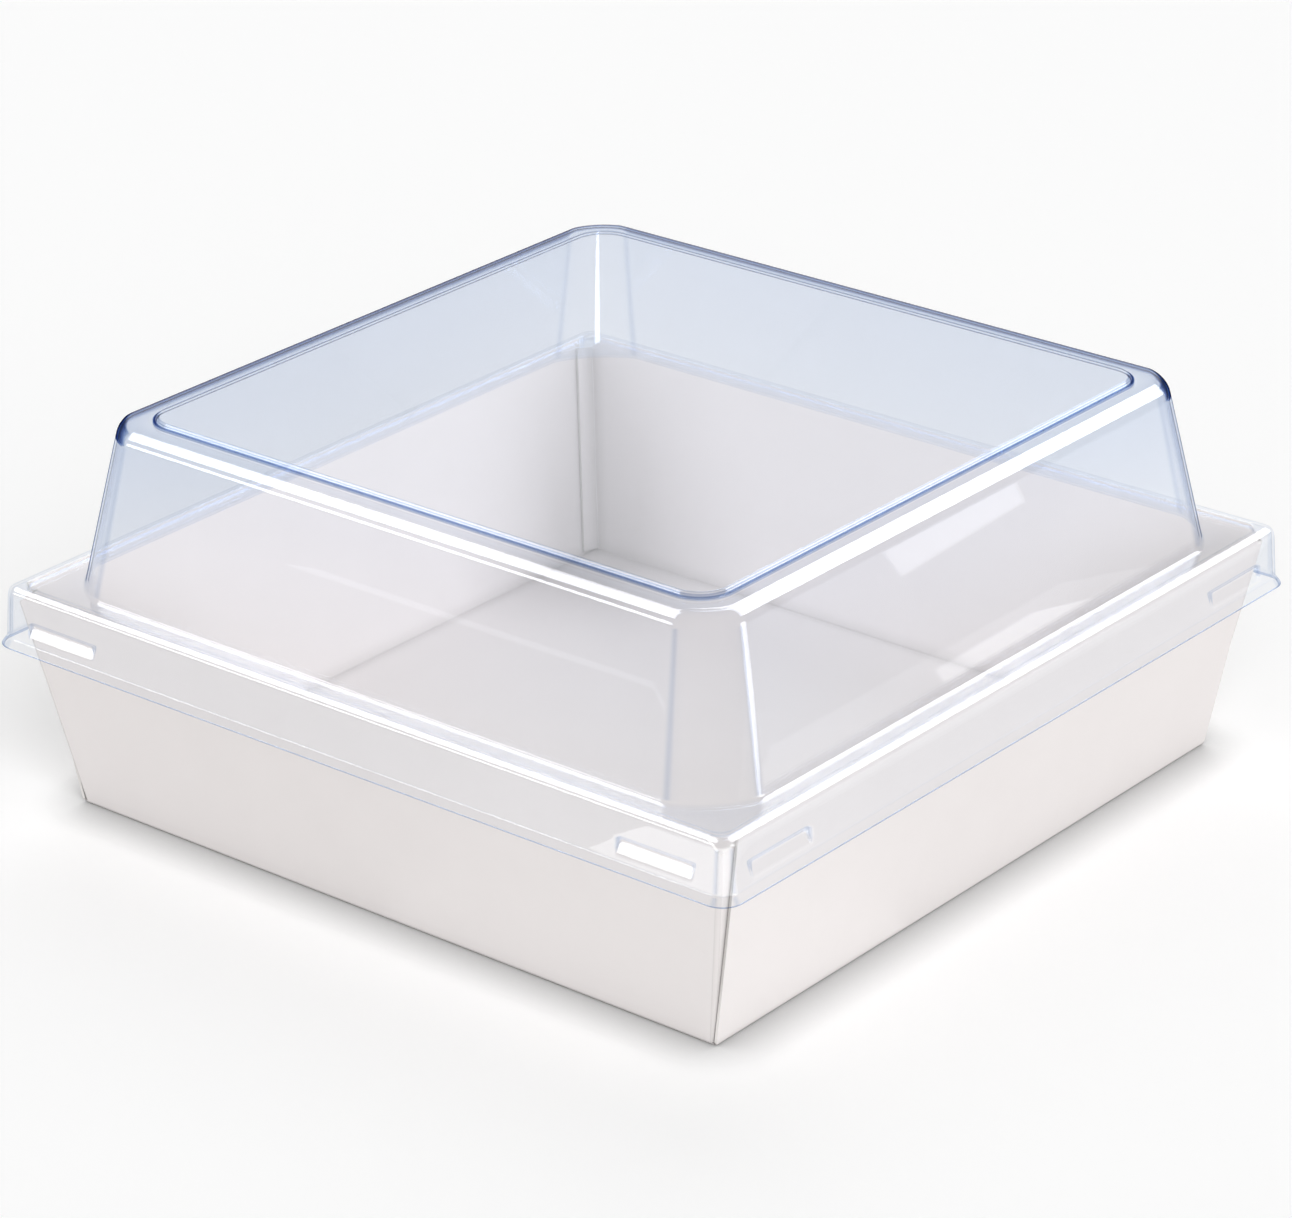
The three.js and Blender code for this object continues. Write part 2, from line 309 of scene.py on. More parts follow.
# A small card in the tray, aimed at the dome's back corner.
GLINT_PLACE = Vector((-33, 39, 10.4)) * MM
GLINT_TARGET = Vector((-64, 64, 55)) * MM
GLINT_WIDTH = 4 * MM
GLINT_LENGTH = 22 * MM
GLINT_LEVEL = 1.1
GLINT_SPREAD = math.radians(70)

# Camera at the photograph's viewing angle, from the frame's origin.
PHOTO_WIDTH = 1292
FOCAL_PIXELS = 4928
SENSOR_WIDTH = 36
CAMERA_AZIMUTH = math.radians(39.11)
CAMERA_ELEVATION = math.radians(24.2)
CAMERA_ROLL = math.radians(-0.33)
CAMERA_DISTANCE = 866.4 * MM
CAMERA_RIGHT = -0.5 * MM
CAMERA_UP = 28.75 * MM
CLIP_START = 10 * MM


def turned(point, turns):
    """The point after that many quarter turns about +Z."""
    return Matrix.Rotation(turns * QUARTER_TURN, 3, "Z") @ point


def link(thing):
    """Puts an object in the scene."""
    bpy.context.scene.collection.objects.link(thing)


def new_mesh(name, points, faces, traits=None):
    """A mesh object in the scene, with its doubled points welded and its faces pointing out."""
    mesh = bpy.data.meshes.new(name)
    mesh.from_pydata(points, [], faces)
    for trait, values in (traits or {}).items():
        mesh.attributes.new(trait, "FLOAT", "POINT").data.foreach_set("value", values)
    shape = bmesh.new()
    shape.from_mesh(mesh)
    bmesh.ops.remove_doubles(shape, verts=shape.verts, dist=WELD)
    bmesh.ops.recalc_face_normals(shape, faces=shape.faces)
    shape.to_mesh(mesh)
    shape.free()
    piece = bpy.data.objects.new(name, mesh)
    link(piece)
    return piece


# Tray


def wall_point(across, rise, depth):
    """A point of the front wall: across it, up its slope, and that deep behind its outer face."""
    out = BASE_HALF + rise * math.sin(LEAN) - depth * math.cos(LEAN)
    return Vector((across, -out, rise * math.cos(LEAN) + depth * math.sin(LEAN)))


def arc(middle, start, end, steps):
    """Points on a round arc about a middle point, both ends included."""
    radius = (start - middle).length
    first = (start - middle).normalized()
    last = (end - middle).normalized()
    return [middle + first.slerp(last, step / steps) * radius for step in range(steps + 1)]


def bend(corner, first, second, radius, steps):
    """Points of a round bend at a corner, between two unit directions that lead away from it."""
    half = first.angle(second) / 2
    reach = radius / math.tan(half)
    middle = corner + (first + second).normalized() * (radius / math.sin(half))
    return arc(middle, corner + first * reach, corner + second * reach, steps)


def strip(rows):
    """Quads between rows of points with equal counts."""
    quads = []
    for row, following in zip(rows, rows[1:]):
        for i in range(len(row) - 1):
            quads.append([row[i], row[i + 1], following[i + 1], following[i]])
    return quads


def bent_strip(rows, flat):
    """Quads of a crease's rows and of the flat panel that follows, each with its material."""
    quads = strip([*rows, flat])
    return [(quad, CREASE) for quad in quads[:-1]] + [(quads[-1], FACE)]


def mirrored(points):
    """Points on the other half of the front wall, in reverse order."""
    return [Vector((-p.x, p.y, p.z)) for p in reversed(points)]


def base_crease(foot):
    """The crease along the front edge of the base, as rows from the base to the wall."""
    middle = BOARD / 2
    rise = (middle - middle * math.sin(LEAN)) / math.cos(LEAN)
    corner = wall_point(0, rise, middle)
    inward = Vector((0, 1, 0))
    upward = Vector((0, -math.sin(LEAN), math.cos(LEAN)))
    line = bend(corner, inward, upward, CREASE_RADIUS, CREASE_STEPS)
    start = -line[0].y
    rows = []
    for step, point in enumerate(line):
        half = start + (foot - start) * step / CREASE_STEPS
        rows.append([Vector((-half, point.y, point.z)), Vector((half, point.y, point.z))])
    return rows


def lapped_wall():
    """The front wall as one that laps over its neighbours' tabs, with its crease."""
    rows = base_crease(BASE_HALF)
    top = RIM_HALF - CORNER_REVEAL
    rim = [wall_point(-top, SLANT, BOARD / 2), wall_point(top, SLANT, BOARD / 2)]
    return bent_strip(rows, rim)


def folded_wall():
    """The front wall as one that ends in corner tabs, with its crease, folds and tabs."""
    middle = BOARD / 2
    lap = (BOARD + LAP_GAP) / math.cos(LEAN)
    tab_depth = BOARD + LAP_GAP + middle

    def corner_at(rise):
        return wall_point(BASE_HALF + rise * math.sin(LEAN) - tab_depth / math.cos(LEAN), rise, middle)

    low = corner_at(lap)
    high = corner_at(SLANT - TAB_TRIM)
    along = (high - low).normalized()
    to_wall = Vector((-1, 0, 0))
    to_wall = (to_wall - along * to_wall.dot(along)).normalized()
    side_normal = Vector((math.cos(LEAN), 0, -math.sin(LEAN)))
    to_tab = along.cross(side_normal)
    to_tab = to_tab if to_tab.y > 0 else -to_tab
    low_bend = bend(low, to_wall, to_tab, CREASE_RADIUS, CREASE_STEPS)
    high_bend = bend(high, to_wall, to_tab, CREASE_RADIUS, CREASE_STEPS)
    reach = TAB_WIDTH - lap
    tab = [low + to_tab * reach, high + to_tab * reach]
    fold = bent_strip([[a, b] for a, b in zip(low_bend, high_bend)], tab)

    rows = base_crease(corner_at(0).x)
    clip_low = high_bend[0] + along * (TAB_TRIM - CORNER_CLIP)
    clip_top = wall_point(clip_low.x - CORNER_CLIP, SLANT, middle)
    right = [rows[-1][1], low_bend[0], high_bend[0], clip_low, clip_top]
    wall = [(right + mirrored(right), FACE)]
    other_fold = [(mirrored(quad), kind) for quad, kind in fold]
    return [(quad, CREASE) for quad in strip(rows)] + wall + fold + other_fold


def make_tray():
    """The tray as one folded blank: base, two lapped walls, two folded walls and their tabs."""
    panels = []
    for turns, wall in enumerate((folded_wall(), lapped_wall(), folded_wall(), lapped_wall())):
        panels += [([turned(p, turns) for p in panel], kind) for panel, kind in wall]
    inner = base_crease(BASE_HALF)[0][1]
    panels.append(([turned(inner, turns) for turns in range(SIDES)], FACE))
    points = [p for panel, kind in panels for p in panel]
    faces = []
    for panel, kind in panels:
        start = faces[-1][-1] + 1 if faces else 0
        faces.append(list(range(start, start + len(panel))))
    tray = new_mesh("tray_blank", points, faces)
    tray.data.materials.append(board_material())
    tray.data.materials.append(cut_edge_material())
    tray.data.materials.append(crease_shade_material())
    for face, (panel, kind) in zip(tray.data.polygons, panels):
        face.material_index = kind
    thicken = tray.modifiers.new("board", "SOLIDIFY")
    thicken.thickness = BOARD
    thicken.offset = 0
    thicken.use_even_offset = True
    thicken.material_offset_rim = CUT_EDGE
    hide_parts(*TRAY_NODES)
    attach(tray, "tray")


# Lid


def lid_corners():
    """Corners of the lid's outer section, from its middle to its lip."""
    plateau = PLATEAU_HALF - PLATEAU_CORNER
    middle = plateau + PLATEAU_CORNER / 2
    dome_top = DOME_TOP - DOME_TOP_CORNER
    dome_base = DOME_BASE - DOME_BASE_CORNER
    step = STEP_FOOT - STEP_CORNER
    skirt = SKIRT_HALF - SKIRT_CORNER
    lip = SKIRT_FOOT - LIP_DROP
    top = SHOULDER_HEIGHT
    return [
        Corner(middle, LID_TOP, 0, plateau, 1, 0, 0, PLATEAU_DEPTH),
        Corner(PLATEAU_HALF, LID_TOP, PLATEAU_FILLET, plateau, 1, SLIGHT_SLANT, EDGE_FOLD, PLATEAU_DEPTH),
        Corner(PLATEAU_FOOT, top, PLATEAU_FILLET, plateau, 1, FULL_SLANT, EDGE_FOOT_FOLD, PLATEAU_DEPTH),
        Corner(DOME_TOP, top, DOME_TOP_FILLET, dome_top, 0, FULL_SLANT, 0, WALL_TOP_DEPTH),
        Corner(DOME_BASE, LEDGE_HEIGHT, DOME_BASE_FILLET, dome_base, 0, 0, BASE_FOLD, WALL_FOOT_DEPTH),
        Corner(STEP_FOOT, LEDGE_HEIGHT, STEP_FILLET, step, 1, SLIGHT_SLANT, STEP_FOLD, RIM_DEPTH),
        Corner(STEP_HALF, FLANGE_HEIGHT, STEP_FILLET, step, 1, 0, 0, RIM_DEPTH),
        Corner(SKIRT_HALF, FLANGE_HEIGHT, FLANGE_FILLET, skirt, 1, 0, 0, RIM_DEPTH),
        Corner(FOOT_HALF, SKIRT_FOOT, LIP_FILLET, skirt, 1, 0, FOOT_FOLD, RIM_DEPTH),
        Corner(LIP_HALF, lip, 0, skirt, 1, 0, LIP_FOLD, RIM_DEPTH),
    ]


def inset_corners(corners):
    """The section moved square to itself by the sheet's thickness, towards the inside of the lid."""
    at = [Vector((c.half, c.height)) for c in corners]
    ways = [(b - a).normalized() for a, b in zip(at, at[1:])]
    moved = []
    for i, corner in enumerate(corners):
        into = ways[max(i - 1, 0)]
        out = ways[min(i, len(ways) - 1)]
        along = (into + out).normalized()
        reach = SHEET / along.dot(into)
        turn = into.x * out.y - into.y * out.x
        inner = max(corner.fillet + math.copysign(SHEET, turn), LEAST_FILLET) if corner.fillet else 0
        half = corner.half + along.y * reach
        height = corner.height - along.x * reach
        moved.append(corner._replace(half=half, height=height, fillet=inner))
    return moved


def round_curve(steps):
    """A plain quarter round in plan as points from (1, 0) to (0, 1), without its ends."""
    turns = [QUARTER_TURN * step / steps for step in range(1, steps)]
    return [Vector((math.cos(turn), math.sin(turn))) for turn in turns]


def bent_curve():
    """One dome corner in plan as points from (1, 0) to (0, 1), without its ends."""
    points = [Vector((0, 0))]
    heading = QUARTER_TURN
    for share, turn, steps in (TIGHT_BEND, BROAD_BEND, TIGHT_BEND):
        for step in range(steps):
            middle = heading + turn / steps * (step + 1 / 2)
            points.append(points[-1] + Vector((math.cos(middle), math.sin(middle))) * share / steps)
        heading += turn
    reach = points[-1].y
    return [Vector((1, 0)) + point / reach for point in points[1:-1]]


def between(first, second, share):
    """The value at a share of the way from the first to the second."""
    return first + (second - first) * share


def skirt_shares(start, end):
    """Shares of the skirt's run, from its top to its foot, where its nubs need rows."""
    step = (NUB_ROWS_HIGH - NUB_ROWS_LOW) / NUB_ROWS
    heights = [NUB_ROWS_HIGH - row * step for row in range(NUB_ROWS + 1)]
    return [(start.y - height) / (start.y - end.y) for height in heights]


def section_arcs(corners):
    """Each corner of the section as the points of its fillet."""
    at = [Vector((c.half, c.height, 0)) for c in corners]
    arcs = [[at[0]]]
    for i in range(1, len(corners) - 1):
        before = (at[i - 1] - at[i]).normalized()
        after = (at[i + 1] - at[i]).normalized()
        arcs.append(bend(at[i], before, after, corners[i].fillet, FILLET_STEPS))
    arcs.append([at[-1]])
    return arcs


def corner_rows(corner, points):
    """The rows of one corner's fillet. Its fold is sharpest in the middle."""
    rows = []
    for k, p in enumerate(points):
        sharpness = 1 - abs(2 * k / FILLET_STEPS - 1) if len(points) > 1 else 1
        slant = corner.slant * min(k / SLANT_STEPS, 1)
        fold = corner.fold * sharpness
        rows.append(Row(p.x, p.y, corner.centre, corner.roundness, slant, fold, corner.depth, False))
    return rows


def run_rows(here, following, start, end, inner):
    """The rows of the straight run between two corners: one by each end, and those at the inner shares."""
    run = end - start
    guard = min(GUARD / run.length, GUARD_SHARE)
    fold = min(here.fold, following.fold) if run.length < SHORT_RUN else 0
    on_wall = abs(run.y) > abs(run.x)
    rows = []
    for share in [guard, *inner, 1 - guard]:
        place = start + run * share
        centre = between(here.centre, following.centre, share)
        roundness = between(here.roundness, following.roundness, share)
        depth = between(here.depth, following.depth, share)
        rows.append(Row(place.x, place.y, centre, roundness, 0, fold, depth, on_wall))
    return rows


def rounded_section(corners):
    """The section's rows of points, from the lid's middle to its lip."""
    arcs = section_arcs(corners)
    skirt = len(corners) + SKIRT_START
    rows = corner_rows(corners[0], arcs[0])
    for i, (here, following) in enumerate(zip(corners, corners[1:])):
        start = arcs[i][-1]
        end = arcs[i + 1][0]
        inner = skirt_shares(start, end) if i == skirt else []
        rows += run_rows(here, following, start, end, inner)
        rows += corner_rows(following, arcs[i + 1])
    return rows


def side_places():
    """Places along a side's straight stretch, as shares of its half length."""
    straight = SKIRT_HALF - SKIRT_CORNER
    nub = [(NUB_PLACE + way * offset * MM) / straight for way in (-1, 1) for offset in NUB_OFFSETS]
    half = sorted([*PLAIN_SHARES, NUB_PLACE / straight, *nub])
    return [-share for share in reversed(half)] + [0] + half


def smooth_rise(value):
    """The value where it is positive and nothing where it is negative, with a round turn between."""
    return (value + math.hypot(value, NUB_ROUNDING)) / 2


def past_nub_end(along):
    """How far up its end slope a place along a side lies, from the nearest nub's floor."""
    return (abs(abs(along) - NUB_PLACE) - NUB_WIDTH / 2) / NUB_END_SLOPE


def nub_dent(along, height):
    """How deep the skirt is pressed in at a place along a side."""
    low = (NUB_LOW - height) / NUB_BOTTOM_SLOPE
    high = (height - NUB_HIGH) / NUB_TOP_SLOPE
    rise = math.hypot(smooth_rise(past_nub_end(along)), smooth_rise(max(low, high)))
    skirt = SKIRT_HALF + SKIRT_FLARE * (FLANGE_HEIGHT - height) / SKIRT_DROP
    return smooth_rise(skirt - NUB_FLOOR - rise)


def nub_edge(along, height):
    """How sharply the skirt is folded at a place along a side, round the ends and the top of a nub."""
    high = (height - NUB_HIGH) / NUB_TOP_SLOPE
    on_edge = nub_dent(along, height) > NUB_ROUNDING and max(past_nub_end(along), high) > 0
    return NUB_EDGE_FOLD if on_edge else 0


def is_pressed(row):
    """Whether a row lies in the skirt, where the nubs are."""
    return row.half > SKIRT_HALF - SKIRT_DEPTH and row.height < FLANGE_HEIGHT - FLANGE_FILLET


def ring(row, places, curves):
    """One closed ring of the lid, counter-clockwise from above."""
    points = []
    pressed = is_pressed(row)
    reach = row.half - row.centre
    for turns in range(SIDES):
        for share in places:
            along = share * row.centre
            dent = nub_dent(along, row.height) if pressed else 0
            points.append(turned(Vector((row.half - dent, along, row.height)), turns))
        for bent, plain in zip(*curves):
            corner = between(bent, plain, row.roundness) * reach
            points.append(turned(Vector((row.centre + corner.x, row.centre + corner.y, row.height)), turns))
    return points


def ring_traits(row, places, corner_points):
    """How the sheet's tint gathers along a ring, point by point."""
    tight = TIGHT_BEND[2]
    ends = [min(i, corner_points - 1 - i) for i in range(corner_points)]
    slants = [TIGHT_SLANT if end < tight else BROAD_SLANT for end in ends]
    folds = [CORNER_FOLDS[end] if end < tight else 0 for end in ends]
    slants = [max(row.slant, slant) if row.on_wall else row.slant for slant in slants]
    folds = [max(row.fold, fold) if row.on_wall else row.fold for fold in folds]
    straight = len(places)
    edges = [nub_edge(share * row.centre, row.height) if is_pressed(row) else 0 for share in places]
    return {
        "slant": ([row.slant] * straight + slants) * SIDES,
        "fold": ([max(row.fold, edge) for edge in edges] + folds) * SIDES,
        "depth": [row.depth] * (straight + corner_points) * SIDES,
    }


def make_lid():
    """The clear lid: one closed sheet with an outer and an inner face and a cut edge along its lip."""
    places = side_places()
    bent = bent_curve()
    curves = (bent, round_curve(len(bent) + 1))
    rows = rounded_section(lid_corners())
    rows += rounded_section(inset_corners(lid_corners()))[::-1]
    points = []
    traits = {"slant": [], "fold": [], "depth": []}
    for row in rows:
        points += ring(row, places, curves)
        for trait, values in ring_traits(row, places, len(bent)).items():
            traits[trait] += values
    count = SIDES * (len(places) + len(bent))
    faces = []
    for row in range(len(rows) - 1):
        for i in range(count):
            a = row * count + i
            b = row * count + (i + 1) % count
            faces.append((a, a + count, b + count, b))
    faces.append(tuple(range(count)))
    faces.append(tuple(range(len(points) - count, len(points)))[::-1])
    lid = new_mesh("lid_shell", points, faces, traits)
    lid.data.materials.append(sheet_material())
    for face in lid.data.polygons:
        face.use_smooth = True
    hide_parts("lid")
    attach(lid, "lid")


# Materials


def new_material(name):
    """A material and its empty node tree."""
    material = bpy.data.materials.new(name)
    material.use_nodes = True
    tree = material.node_tree
    tree.nodes.clear()
    return material, tree


def add_node(tree, kind, **settings):
    """A node with its plain settings."""
    node = tree.nodes.new(kind)
    for key, value in settings.items():
        setattr(node, key, value)
    return node


def set_inputs(node, **values):
    """Sets a node's inputs by name, with _ for a space."""
    for key, value in values.items():
        node.inputs[key.replace("_", " ")].default_value = value
    return node


def show(tree, surface):
    """Makes a shader the one that the material shows."""
    out = add_node(tree, "ShaderNodeOutputMaterial")
    tree.links.new(surface, out.inputs["Surface"])


def calculate(tree, operation, first, second=0):
    """A math node's result. Each term is a socket or a plain number."""
    node = add_node(tree, "ShaderNodeMath", operation=operation)
    for term, socket in zip((first, second), node.inputs):
        if isinstance(term, (int, float)):
            socket.default_value = term
        else:
            tree.links.new(term, socket)
    return node.outputs[0]


def noise(tree, scale, detail, contrast=PLAIN_CONTRAST):
    """A noise pattern in the object's own metres."""
    place = add_node(tree, "ShaderNodeTexCoord")
    pattern = add_node(tree, "ShaderNodeTexNoise")
    set_inputs(pattern, Scale=scale, Detail=detail, Roughness=contrast)
    tree.links.new(place.outputs["Object"], pattern.inputs["Vector"])
    return pattern.outputs["Fac"]


def mapped(tree, socket, low, high, start=0, stop=1):
    """A pattern between a start and a stop, spread between two values."""
    node = add_node(tree, "ShaderNodeMapRange")
    set_inputs(node, From_Min=start, From_Max=stop, To_Min=low, To_Max=high)
    tree.links.new(socket, node.inputs["Value"])
    return node.outputs["Result"]


def two_colours(tree, socket, low, high):
    """A colour between two, by a 0 to 1 pattern."""
    ramp = add_node(tree, "ShaderNodeValToRGB")
    ramp.color_ramp.elements[0].color = (*low, 1)
    ramp.color_ramp.elements[1].color = (*high, 1)
    tree.links.new(socket, ramp.inputs["Fac"])
    return ramp.outputs["Color"]


def lay_relief(tree, pattern, strength, height, shader):
    """Lays a pattern's relief on a shader."""
    relief = set_inputs(add_node(tree, "ShaderNodeBump"), Strength=strength, Distance=height)
    tree.links.new(pattern, relief.inputs["Height"])
    tree.links.new(relief.outputs["Normal"], shader.inputs["Normal"])


def hollow_shade(tree, reach, dark, only_local):
    """A grey that darkens towards inner corners, within that reach."""
    hollow = add_node(tree, "ShaderNodeAmbientOcclusion", only_local=only_local, samples=HOLLOW_SAMPLES)
    set_inputs(hollow, Distance=reach)
    return mapped(tree, hollow.outputs["AO"], dark, 1, DEEP_HOLLOW)


def darkened(tree, colour, shade):
    """A colour under a grey shade."""
    mix = add_node(tree, "ShaderNodeMix", data_type="RGBA", blend_type="MULTIPLY")
    mix.inputs["Factor"].default_value = 1
    tree.links.new(colour, mix.inputs["A"])
    tree.links.new(shade, mix.inputs["B"])
    return mix.outputs["Result"]


def corner_shade(tree):
    """A grey that darkens the tray's four inner corners, and leaves the creases between them clear."""
    place = add_node(tree, "ShaderNodeTexCoord")
    axes = add_node(tree, "ShaderNodeSeparateXYZ")
    tree.links.new(place.outputs["Object"], axes.inputs["Vector"])
    reaches = [calculate(tree, "ABSOLUTE", axes.outputs[axis]) for axis in "XY"]
    cornered = mapped(tree, calculate(tree, "MINIMUM", *reaches), 0, 1, CORNER_START, CORNER_STOP)
    hollow = hollow_shade(tree, CORNER_REACH, CORNER_DARK, True)
    gloom = calculate(tree, "MULTIPLY", cornered, calculate(tree, "SUBTRACT", 1, hollow))
    nook = hollow_shade(tree, NOOK_REACH, NOOK_DARK, True)
    return calculate(tree, "MULTIPLY", nook, calculate(tree, "SUBTRACT", 1, gloom))


def paper(name, colours, fibre_scale, relief_height):
    """White paper: clouded colour darkened by painted shade in inner corners and nooks, uneven gloss and a
    fine fibre relief.
    """
    material, tree = new_material(name)
    shader = add_node(tree, "ShaderNodeBsdfPrincipled")
    set_inputs(shader, IOR=BOARD_IOR, Specular_IOR_Level=BOARD_SPECULAR)
    colour = two_colours(tree, noise(tree, CLOUD_SCALE, CLOUD_DETAIL), *colours)
    tree.links.new(darkened(tree, colour, corner_shade(tree)), shader.inputs["Base Color"])
    fibres = noise(tree, fibre_scale, FIBRE_DETAIL, FIBRE_CONTRAST)
    tree.links.new(mapped(tree, fibres, *BOARD_ROUGHNESS), shader.inputs["Roughness"])
    lay_relief(tree, fibres, RELIEF_STRENGTH, relief_height, shader)
    show(tree, shader.outputs["BSDF"])
    return material


def board_material():
    """The coated white face of the board."""
    return paper("board_face", FACE_COLOURS, FACE_FIBRES, FACE_RELIEF)


def cut_edge_material():
    """The raw cut edge of the board."""
    return paper("board_cut_edge", CUT_EDGE_COLOURS, CUT_EDGE_FIBRES, CUT_EDGE_RELIEF)


def crease_shade_material():
    """The board's pressed creases, painted a little darker than its face as shade in the folds."""
    return paper("board_crease_shade", CREASE_SHADE_COLOURS, FACE_FIBRES, FACE_RELIEF)


def carried(tree, name):
    """A value that the mesh carries point by point."""
    return add_node(tree, "ShaderNodeAttribute", attribute_name=name).outputs["Fac"]


def tinted(tree, path):
    """The sheet's tint along a path."""
    node = add_node(tree, "ShaderNodeGamma")
    node.inputs["Color"].default_value = (*SHEET_TINT, 1)
    tree.links.new(path, node.inputs["Gamma"])
    return node.outputs["Color"]


def gathered_path(tree, path, fold):
    """How much longer the way through the sheet is in its bends and folds."""
    slanting = calculate(tree, "MULTIPLY", path, carried(tree, "slant"))
    past_start = calculate(tree, "SUBTRACT", slanting, SLANT_START)
    in_bends = calculate(tree, "MULTIPLY", calculate(tree, "MAXIMUM", past_start, 0), SLANT_GAIN)
    in_folds = calculate(tree, "MULTIPLY", fold, FOLD_PATH)
    return calculate(tree, "ADD", in_bends, in_folds)


def sheet_gloss(tree, colour):
    """The sheet's gloss, with a faint haze and shallow ripples."""
    gloss = add_node(tree, "ShaderNodeBsdfGlossy")
    tree.links.new(colour, gloss.inputs["Color"])
    haze = mapped(tree, noise(tree, HAZE_SCALE, HAZE_DETAIL), *HAZE_ROUGHNESS)
    tree.links.new(haze, gloss.inputs["Roughness"])
    waves = noise(tree, RIPPLE_SCALE, RIPPLE_DETAIL)
    lay_relief(tree, waves, RIPPLE_STRENGTH, RIPPLE_HEIGHT, gloss)
    return gloss.outputs["BSDF"]


def mirror_share(tree, facing, fold):
    """The share of light that the sheet mirrors, less where it is folded."""
    mirror = mapped(tree, calculate(tree, "POWER", facing, MIRROR_POWER), MIRROR_LEAST, MIRROR_MOST)
    dulled = calculate(tree, "SUBTRACT", 1, calculate(tree, "MULTIPLY", fold, FOLD_DULL))
    return calculate(tree, "MULTIPLY", mirror, dulled)


def mixed(tree, share, first, second):
    """A share of the second shader over the first."""
    mix = add_node(tree, "ShaderNodeMixShader")
    tree.links.new(share, mix.inputs["Fac"])
    tree.links.new(first, mix.inputs[1])
    tree.links.new(second, mix.inputs[2])
    return mix.outputs["Shader"]


def sheet_material():
    """Clear, faintly blue plastic sheet, seen through along a longer path where it is met at a slant."""
    material, tree = new_material("clear_sheet")
    weight = set_inputs(add_node(tree, "ShaderNodeLayerWeight"), Blend=SQUARE_BLEND)
    facing = weight.outputs["Facing"]
    fold = carried(tree, "fold")
    path = calculate(tree, "DIVIDE", 1, calculate(tree, "SUBTRACT", EDGE_ON, facing))
    gathered = gathered_path(tree, path, fold)
    across = calculate(tree, "MULTIPLY", path, carried(tree, "depth"))
    clear = add_node(tree, "ShaderNodeBsdfTransparent")
    tree.links.new(tinted(tree, calculate(tree, "ADD", across, gathered)), clear.inputs["Color"])
    gloss = sheet_gloss(tree, tinted(tree, gathered))
    sheet = mixed(tree, mirror_share(tree, facing, fold), clear.outputs["BSDF"], gloss)

    rays = add_node(tree, "ShaderNodeLightPath").outputs
    lets_light_in = calculate(tree, "MAXIMUM", rays["Is Shadow Ray"], rays["Is Diffuse Ray"])
    open_way = add_node(tree, "ShaderNodeBsdfTransparent")
    open_way.inputs["Color"].default_value = (*SHEET_SHADE, 1)
    show(tree, mixed(tree, lets_light_in, sheet, open_way.outputs["BSDF"]))
    return material


# Stage


def seen_directly(tree):
    """1 for what the camera, mirrors and clear things show, 0 for the light that falls on things."""
    rays = add_node(tree, "ShaderNodeLightPath").outputs
    seen = calculate(tree, "MAXIMUM", rays["Is Camera Ray"], rays["Is Glossy Ray"])
    return calculate(tree, "MAXIMUM", seen, rays["Is Transmission Ray"])


def make_floor():
    """A plain pale floor that shows white and keeps the box's shadow, with a painted contact shadow where
    the box stands on it.
    """
    half = FLOOR_SIZE / 2
    corners = [(-half, -half, 0), (half, -half, 0), (half, half, 0), (-half, half, 0)]
    floor = new_mesh("floor", corners, [(0, 1, 2, 3)])
    material, tree = new_material("floor")
    shader = add_node(tree, "ShaderNodeBsdfDiffuse")
    colour = two_colours(tree, seen_directly(tree), FLOOR_LIT, FLOOR_SEEN)
    shade = hollow_shade(tree, CONTACT_REACH, CONTACT_DARK, False)
    tree.links.new(darkened(tree, colour, shade), shader.inputs["Color"])
    glow = add_node(tree, "ShaderNodeEmission")
    tree.links.new(mapped(tree, seen_directly(tree), 0, FLOOR_GLOW), glow.inputs["Strength"])
    tree.links.new(shade, glow.inputs["Color"])
    both = add_node(tree, "ShaderNodeAddShader")
    tree.links.new(shader.outputs["BSDF"], both.inputs[0])
    tree.links.new(glow.outputs["Emission"], both.inputs[1])
    show(tree, both.outputs["Shader"])
    floor.data.materials.append(material)


def make_sky():
    """White where it is seen, and a plain soft light on the box that is brighter from its sides."""
    world = bpy.data.worlds.new("studio")
    world.use_nodes = True
    tree = world.node_tree
    tree.nodes.clear()
    place = add_node(tree, "ShaderNodeTexCoord")
    axes = add_node(tree, "ShaderNodeSeparateXYZ")
    tree.links.new(place.outputs["Generated"], axes.inputs["Vector"])
    height = calculate(tree, "POWER", axes.outputs["Z"], SKY_FALL)
    level = add_node(tree, "ShaderNodeMix")
    tree.links.new(seen_directly(tree), level.inputs["Factor"])
    tree.links.new(mapped(tree, height, SKY_SIDES, SKY_TOP), level.inputs["A"])
    level.inputs["B"].default_value = 1
    shader = add_node(tree, "ShaderNodeBackground")
    tree.links.new(level.outputs["Result"], shader.inputs["Strength"])
    out = add_node(tree, "ShaderNodeOutputWorld")
    tree.links.new(shader.outputs["Background"], out.inputs["Surface"])
    bpy.context.scene.world = world


def direction(azimuth, elevation):
    """The unit direction of something seen from the box: azimuth 0 is -Y, and a quarter turn is +X."""
    flat = math.cos(elevation)
    return Vector((math.sin(azimuth) * flat, -math.cos(azimuth) * flat, math.sin(elevation)))


def make_lamp(lamp):
    """A broad soft light from far away."""
    light = bpy.data.lights.new(lamp.name, "SUN")
    light.energy = lamp.level * math.pi
    light.angle = math.radians(lamp.softness)
    sun = bpy.data.objects.new(lamp.name, light)
    towards = direction(math.radians(lamp.azimuth), math.radians(lamp.elevation))
    sun.rotation_euler = towards.to_track_quat("Z", "Y").to_euler()
    sun.visible_glossy = False
    link(sun)


def only_in_mirrors(thing):
    """Hides a light from all but reflections."""
    thing.visible_camera = False
    thing.visible_diffuse = False
    thing.visible_transmission = False
    thing.visible_shadow = False


def make_glow(name, points, faces, level):
    """A glowing surface that shows only as a reflection."""
    glow = new_mesh(name, points, faces)
    material, tree = new_material(name)
    shader = set_inputs(add_node(tree, "ShaderNodeEmission"), Strength=level)
    show(tree, shader.outputs["Emission"])
    glow.data.materials.append(material)
    only_in_mirrors(glow)


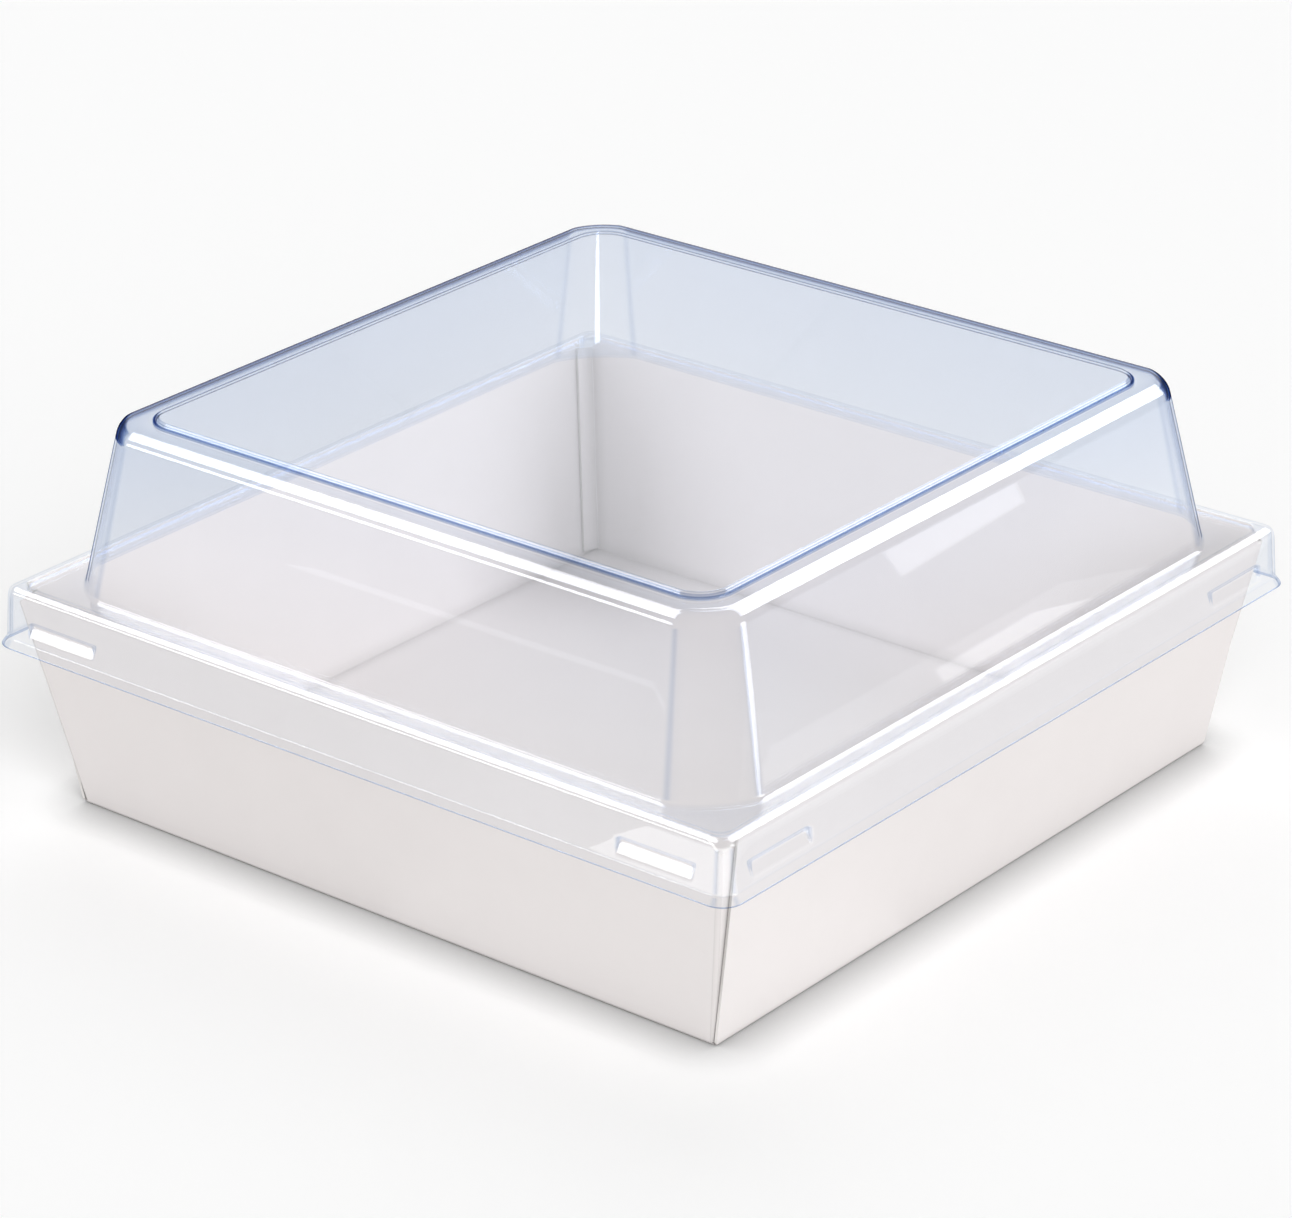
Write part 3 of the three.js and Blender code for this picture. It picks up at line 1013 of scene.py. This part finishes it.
def make_strip(light):
    """A curved light strip along one side's fillets.

    It runs round a pole from one angle to another, seen from the lid at that tilt from the pole.
    """
    up = Vector((0, 0, 1))
    side = Vector((abs(light.pole.y), abs(light.pole.x), 0))
    points = []
    for step in range(STRIP_STEPS + 1):
        turn = math.radians(between(light.start, light.stop, step / STRIP_STEPS))
        across = side * math.cos(turn) + up * math.sin(turn)
        for edge in (-STRIP_SPREAD, STRIP_SPREAD):
            slope = math.radians(light.tilt + edge)
            ray = light.pole * math.cos(slope) + across * math.sin(slope)
            points.append(up * SHOULDER_HEIGHT + ray * STRIP_DISTANCE)
    faces = [(i, i + 1, i + 3, i + 2) for i in range(0, 2 * STRIP_STEPS, 2)]
    make_glow(light.name, points, faces, light.level)


def make_pane(pane):
    """A bright window pane in the dome's right wall."""
    make_glow(pane.name, [Vector(corner) * MM for corner in pane.corners], [(0, 1, 2, 3)], pane.level)


def new_card(name, width, height, level):
    """A bright card that shows only as a reflection."""
    light = bpy.data.lights.new(name, "AREA")
    light.shape = "RECTANGLE"
    light.size = width
    light.size_y = height
    light.energy = level * math.pi * width * height
    card = bpy.data.objects.new(name, light)
    only_in_mirrors(card)
    link(card)
    return card


def make_card(light):
    """A card that faces the middle of the lid."""
    card = new_card(light.name, light.width, light.height, light.level)
    towards = direction(math.radians(light.azimuth), math.radians(light.elevation))
    card.location = Vector((0, 0, SHOULDER_HEIGHT)) + towards * light.distance
    card.rotation_euler = towards.to_track_quat("Z", "Y").to_euler()


def make_floor_card(light):
    """A card that lies on the floor beside the box, facing up."""
    card = new_card(light.name, light.width, light.depth, light.level)
    card.location = (light.x, light.y, CARD_LIFT)
    card.rotation_euler = (math.pi, 0, 0)


def make_glint():
    """A bright line up the dome's back corner."""
    card = new_card("corner_glint", GLINT_WIDTH, GLINT_LENGTH, GLINT_LEVEL)
    card.data.spread = GLINT_SPREAD
    card.location = GLINT_PLACE
    card.rotation_euler = (GLINT_PLACE - GLINT_TARGET).to_track_quat("Z", "Y").to_euler()


def make_lights():
    """The studio's soft lamps, and the lights that the lid mirrors."""
    for lamp in LAMPS:
        make_lamp(lamp)
    for light in STRIPS:
        make_strip(light)
    for light in CARDS:
        make_card(light)
    for light in FLOOR_CARDS:
        make_floor_card(light)
    for pane in PANES:
        make_pane(pane)
    make_glint()


def make_camera():
    """The photograph's camera."""
    back = direction(CAMERA_AZIMUTH, CAMERA_ELEVATION)
    right = Vector((math.cos(CAMERA_AZIMUTH), math.sin(CAMERA_AZIMUTH), 0))
    up = back.cross(right)
    spin = Matrix.Rotation(CAMERA_ROLL, 3, back)
    data = bpy.data.cameras.new("camera")
    data.sensor_width = SENSOR_WIDTH
    data.lens = FOCAL_PIXELS / PHOTO_WIDTH * SENSOR_WIDTH
    data.clip_start = CLIP_START
    camera = bpy.data.objects.new("camera", data)
    place = back * CAMERA_DISTANCE + right * CAMERA_RIGHT + up * CAMERA_UP
    axes = Matrix((spin @ right, spin @ up, back)).transposed()
    camera.matrix_world = Matrix.Translation(place) @ axes.to_4x4()
    link(camera)
    bpy.context.scene.camera = camera


make_tray()
make_lid()
make_floor()
make_sky()
make_lights()
make_camera()
bpy.context.scene.view_settings.view_transform = "Standard"
bpy.context.scene.cycles.transparent_max_bounces = SHEET_CROSSINGS
